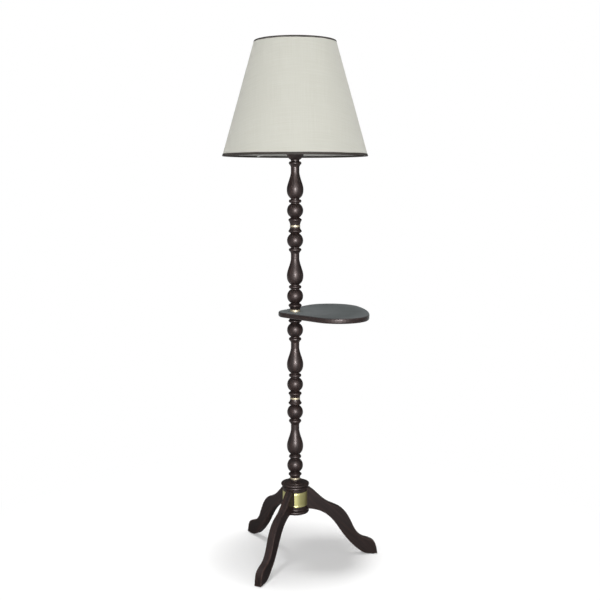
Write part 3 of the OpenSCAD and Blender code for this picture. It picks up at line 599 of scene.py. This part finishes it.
# %% Group: plain weave
weave, g_in, g_out = group("plain weave", [("Place", V, None), ("Pitch", F, 0.0008)],
                           [("Height", F), ("Slub", F)])
split = weave.nodes.new("ShaderNodeSeparateXYZ")
link(weave, g_in.outputs["Place"], split.inputs[0])
across = maths(weave, "DIVIDE", split.outputs["X"], g_in.outputs["Pitch"])
along = maths(weave, "DIVIDE", split.outputs["Y"], g_in.outputs["Pitch"])
warp = maths(weave, "ABSOLUTE", maths(weave, "SINE", maths(weave, "MULTIPLY", across, pi)))
weft = maths(weave, "ABSOLUTE", maths(weave, "SINE", maths(weave, "MULTIPLY", along, pi)))
link(weave, maths(weave, "ADD", warp, weft), g_out.inputs["Height"])
thick = noise_at(weave, stretched(weave, g_in.outputs["Place"], (9, 420, 1)), 1, 3, 0.6)
thin = noise_at(weave, stretched(weave, g_in.outputs["Place"], (420, 9, 1)), 1, 3, 0.6)
link(weave, maths(weave, "ADD", maths(weave, "MULTIPLY", thick, 0.6),
                  maths(weave, "MULTIPLY", thin, 0.4)), g_out.inputs["Slub"])
print("group:", weave.name)

# %% [markdown]
# The shade's linen is glued to a stiff lining, cut as one flat fan and rolled into a cone. So
# its threads run level at the front and slope at the sides. The cloth's place is therefore the
# flat fan's, kept as a UV map, and the weave follows it.


# %% Finish: linen, lining, tape and felt
def cloth(name, light, shade_tone, pitch, relief, rough=0.85, slub=(0.38, 0.62), sheen=0.15):
    made, tree, shader = start(name)
    flat = node(tree, "ShaderNodeUVMap", uv_map="cloth")
    threads = use(tree, weave, flat.outputs[0], Pitch=pitch)
    tone = ranged(tree, threads["Slub"], *slub)
    # The dips between the crossing threads are painted up to 18 % darker: painted shade in the
    # weave.
    tone = maths(tree, "MULTIPLY", tone, ranged(tree, threads["Height"], 0, 1.2, 0.82, 1))
    link(tree, blended(tree, tone, shade_tone, light), shader.inputs["Base Color"])
    shader.inputs["Roughness"].default_value = rough
    shader.inputs["Sheen Weight"].default_value = sheen
    shader.inputs["Sheen Roughness"].default_value = 0.5
    shader.inputs["Specular IOR Level"].default_value = 0.25
    height = maths(tree, "ADD", threads["Height"], maths(tree, "MULTIPLY", threads["Slub"], 2.0))
    link(tree, bumped(tree, height, relief), shader.inputs["Normal"])
    return made


linen = cloth("pale_linen", (0.665, 0.665, 0.600), (0.625, 0.622, 0.550), 0.0006, 0.00006)
lining = cloth("white_lining", (0.74, 0.74, 0.71), (0.70, 0.70, 0.67), 0.0005, 0.00003, 0.5)
tape = cloth("taupe_tape", (0.060, 0.050, 0.043), (0.040, 0.033, 0.028), 0.0009, 0.00012, 0.6,
             sheen=0.03)
felt = cloth("grey_felt", (0.075, 0.070, 0.064), (0.040, 0.036, 0.032), 0.0007, 0.00015, 0.95)
print("cloths:", linen.name, lining.name, tape.name, felt.name)

# %% [markdown]
# ## The shade
# The cone is that of the CAD solids that it replaces, measured over their tape. Real tape is
# thinner than the solid's, so the linen lies a little further out than the solid wall does. The
# linen is a sheet that runs once round and laps over itself at the back, where the real one is
# glued. It is built as a grid of points, given a little unevenness, and thickened with Solidify,
# so that the lap has a real edge on both sides.

# %% Measure the shade's cone
SHADE_BOTTOM_R = 0.2242
SHADE_TOP_R = 0.1252
SHADE_Z, SHADE_TOP_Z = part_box("shade_bottom_trim")[0].z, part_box("shade_top_trim")[1].z
SHADE_H = SHADE_TOP_Z - SHADE_Z
CONE_LOSS = (SHADE_BOTTOM_R - SHADE_TOP_R) / SHADE_H
CONE_SINE = CONE_LOSS / hypot(1, CONE_LOSS)
TAPE_T = 0.0004
LINEN_T = 0.0004
LINING_T = 0.0004
LAP = 0.012
LAP_TURN = LAP / SHADE_BOTTOM_R
AROUND = 288
BACK = radians(90)


def cone_r(h):
    return SHADE_BOTTOM_R - CONE_LOSS * h


def fan_place(radius, turn):
    """Where a point of the cone lies on the flat cloth, turn counted from the front."""
    s = radius / CONE_SINE
    return (s * sin(turn * CONE_SINE), s * cos(turn * CONE_SINE))


print("cone:", round(SHADE_H, 4), "high, half angle", round(degrees(atan2(CONE_LOSS, 1)), 2))


# %% Roll a sheet into the cone
def new_piece(name, verts, faces, material, uvs=None, smooth=True):
    """A mesh object with a material and, where uvs are given, the cloth's place per corner."""
    mesh = bpy.data.meshes.new(name)
    mesh.from_pydata(verts, [], faces)
    if uvs is not None:
        layer = mesh.uv_layers.new(name="cloth")
        for loop in mesh.loops:
            layer.data[loop.index].uv = uvs[loop.vertex_index]
    mesh.polygons.foreach_set("use_smooth", [smooth] * len(mesh.polygons))
    mesh.materials.append(material)
    made = bpy.data.objects.new(name, mesh)
    bpy.context.scene.collection.objects.link(made)
    return made


def lapped_turns():
    """Each column's turn from the front, and how far it lies over the first one, 0 to 1."""
    for i in range(AROUND + 1):
        turn = -pi + (tau + LAP_TURN) * i / AROUND
        yield turn, min(1.0, max(0.0, (turn - pi + 2 * LAP_TURN) / (2 * LAP_TURN)))


def strip_faces(points, flipped=False):
    """The quads between the columns of a rolled sheet, each column having that many points."""
    faces = []
    for i in range(AROUND):
        for j in range(points - 1):
            a = i * points + j
            quad = (a, a + points, a + points + 1, a + 1)
            faces.append(quad[::-1] if flipped else quad)
    return faces


def thickened(made, thick):
    """Gives a sheet its thickness, on the inner side of its faces."""
    solid = made.modifiers.new("thickness", "SOLIDIFY")
    solid.thickness = thick
    solid.offset = -1


def rolled(name, material, low, high, inset, lift, thick, rows=36):
    """A sheet that runs once round the cone and laps over itself at the back by LAP."""
    verts, uvs = [], []
    for turn, over in lapped_turns():
        rise = lift * over * over * (3 - 2 * over)
        for j in range(rows + 1):
            h = low + (high - low) * j / rows
            ripple = 0.00012 * sin(5 * turn + 9 * h) + 0.00008 * sin(11 * turn - 20 * h)
            radius = cone_r(h) - inset + rise + ripple * sin(pi * j / rows)
            angle = BACK + pi + turn
            verts.append((radius * cos(angle), radius * sin(angle), SHADE_Z + h))
            uvs.append(fan_place(radius, turn))
    made = new_piece(name, verts, strip_faces(rows + 1), material, uvs)
    thickened(made, thick)
    return made


EDGE_GAP = 0.0008
INSET = {"shade_linen": TAPE_T + 0.0001, "shade_lining": TAPE_T + LINEN_T + 0.0003}
shade_linen = rolled("shade_linen", linen, EDGE_GAP, SHADE_H - EDGE_GAP, INSET["shade_linen"],
                     0.0006, LINEN_T)
shade_lining = rolled("shade_lining", lining, EDGE_GAP, SHADE_H - EDGE_GAP,
                      INSET["shade_lining"], 0.0, LINING_T)
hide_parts("shade_fabric")
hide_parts("shade_fabric")
for piece in (shade_linen, shade_lining):
    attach(piece, "shade")

# %% [markdown]
# The tape is folded round each wire and glued down. Its section starts on the linen, goes down
# to the edge, round the wire at a thread's distance, and back up to the lining, so that the wire
# is hidden inside it. The section is swept round, with a small waver in its free edges as it is
# laid by hand, and the two ends lap at the back. The top tape shows a little less of itself than
# its solid, as in the photograph.


# %% Fold the tape round both wires
def wire_ring(node_name):
    """A ring's centre radius, its height above the shade's bottom and its wire's half thickness."""
    low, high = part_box(node_name)
    half = (high.z - low.z) / 2
    return high.x - half, (low.z + high.z) / 2 - SHADE_Z, half


def tape_section(edge, way, outer_h, inner_h, wire):
    """Points (radius, height) of the tape's outer face, from the linen round to the lining."""
    ring_r, ring_h, half = wire
    loop = half + TAPE_T + 0.0001
    steps = [(cone_r(edge + way * outer_h * part), edge + way * outer_h * part)
             for part in (1.0, 0.75, 0.5, 0.28)]
    steps += [(cone_r(edge) - 0.00015, edge + way * 0.0006), (cone_r(edge) - 0.0009, edge),
              ((cone_r(edge) - 0.0009 + ring_r) / 2 + 0.0002, edge - way * 0.00005)]
    for k in range(9):
        turn = radians(-90 - 25 * k)
        steps.append((ring_r + loop * cos(turn), ring_h + way * loop * sin(turn)))
    top = edge + way * inner_h
    lining_r = cone_r(top) - INSET["shade_lining"] - 0.0006 - TAPE_T
    steps.append(((steps[-1][0] + lining_r) / 2, (steps[-1][1] + top) / 2))
    steps.append((lining_r, top))
    return steps


def folded_tape(name, node_name, wire_name, edge, way, outer_h, inner_h):
    """edge is the height of the fold, way is +1 for the bottom edge and -1 for the top."""
    section = tape_section(edge, way, outer_h, inner_h, wire_ring(wire_name))
    path = [0.0]
    for (a, b), (c, d) in zip(section, section[1:]):
        path.append(path[-1] + hypot(c - a, d - b))
    last = len(section) - 1
    verts, uvs = [], []
    for turn, over in lapped_turns():
        waver = 0.00025 * sin(7 * turn + edge * 40) + 0.00015 * sin(17 * turn)
        for k, ((radius, height), s) in enumerate(zip(section, path)):
            free = {0: waver, last: 0.7 * waver}.get(k, 0.0)
            rise = 0.0003 * over * (1 if k < 5 else 0)
            angle = BACK + pi + turn
            reach = radius + rise - way * free * CONE_LOSS
            verts.append((reach * cos(angle), reach * sin(angle), SHADE_Z + height + way * free))
            uvs.append((turn * cone_r(edge), s))
    made = new_piece(name, verts, strip_faces(len(section), way > 0), tape, uvs)
    thickened(made, TAPE_T)
    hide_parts(node_name)
    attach(made, "shade")


BOTTOM_TAPE_H, TOP_TAPE_H, TURNED_UP = 0.0073, 0.0046, 0.0053
folded_tape("shade_bottom_tape", "shade_bottom_trim", "shade_bottom_wire", 0.0, 1,
            BOTTOM_TAPE_H, TURNED_UP)
folded_tape("shade_top_tape", "shade_top_trim", "shade_top_wire", SHADE_H, -1, TOP_TAPE_H,
            TURNED_UP)

# %% [markdown]
# ## Felt
# The pads and the washer under the tray are punched from felt, so their edges are a little
# round and uneven. Each is turned from a short section, with a ripple round its rim.


# %% Punch the felt pads
def felt_disc(name, node_name, body, bore=0.0, count=72):
    """A felt disc in a CAD node's place; body names the body that it is attached to."""
    low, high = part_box(node_name)
    centre = (low + high) / 2
    radius = (high.x - low.x) / 2
    thick = high.z - low.z
    ease = min(0.0004, thick * 0.3)
    section = [(bore, 0), (radius - 2 * ease, 0), (radius - ease * 0.6, ease * 0.3),
               (radius, ease), (radius, thick - ease), (radius - ease * 0.6, thick - ease * 0.3),
               (radius - 2 * ease, thick), (bore, thick)]
    verts, uvs, faces = [], [], []
    for i in range(count):
        turn = tau * i / count
        ripple = 0.00008 * sin(9 * turn) + 0.00006 * sin(23 * turn + 1)
        for r, z in section:
            reach = r - abs(ripple) if r > bore else r
            verts.append((centre.x + reach * cos(turn), centre.y + reach * sin(turn), low.z + z))
            uvs.append((reach * cos(turn), reach * sin(turn)))
    rows = len(section)
    wrap = rows if bore else rows - 1
    for i in range(count):
        for j in range(wrap):
            k = (j + 1) % rows
            a, b = i * rows, (i + 1) % count * rows
            faces.append((a + j, b + j, b + k, a + k))
    made = new_piece(name, verts, faces, felt, uvs)
    cleaner = bmesh.new()
    cleaner.from_mesh(made.data)
    bmesh.ops.remove_doubles(cleaner, verts=cleaner.verts, dist=1e-6)
    bmesh.ops.recalc_face_normals(cleaner, faces=cleaner.faces)
    cleaner.to_mesh(made.data)
    cleaner.free()
    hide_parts(node_name)
    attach(made, body)
    return made


for side in ("right", "back", "front"):
    felt_disc("felt_pad_" + side, "pad_" + side, "column")
WASHER_BORE = 0.0083
felt_disc("felt_washer", "tray_felt", "column", WASHER_BORE)
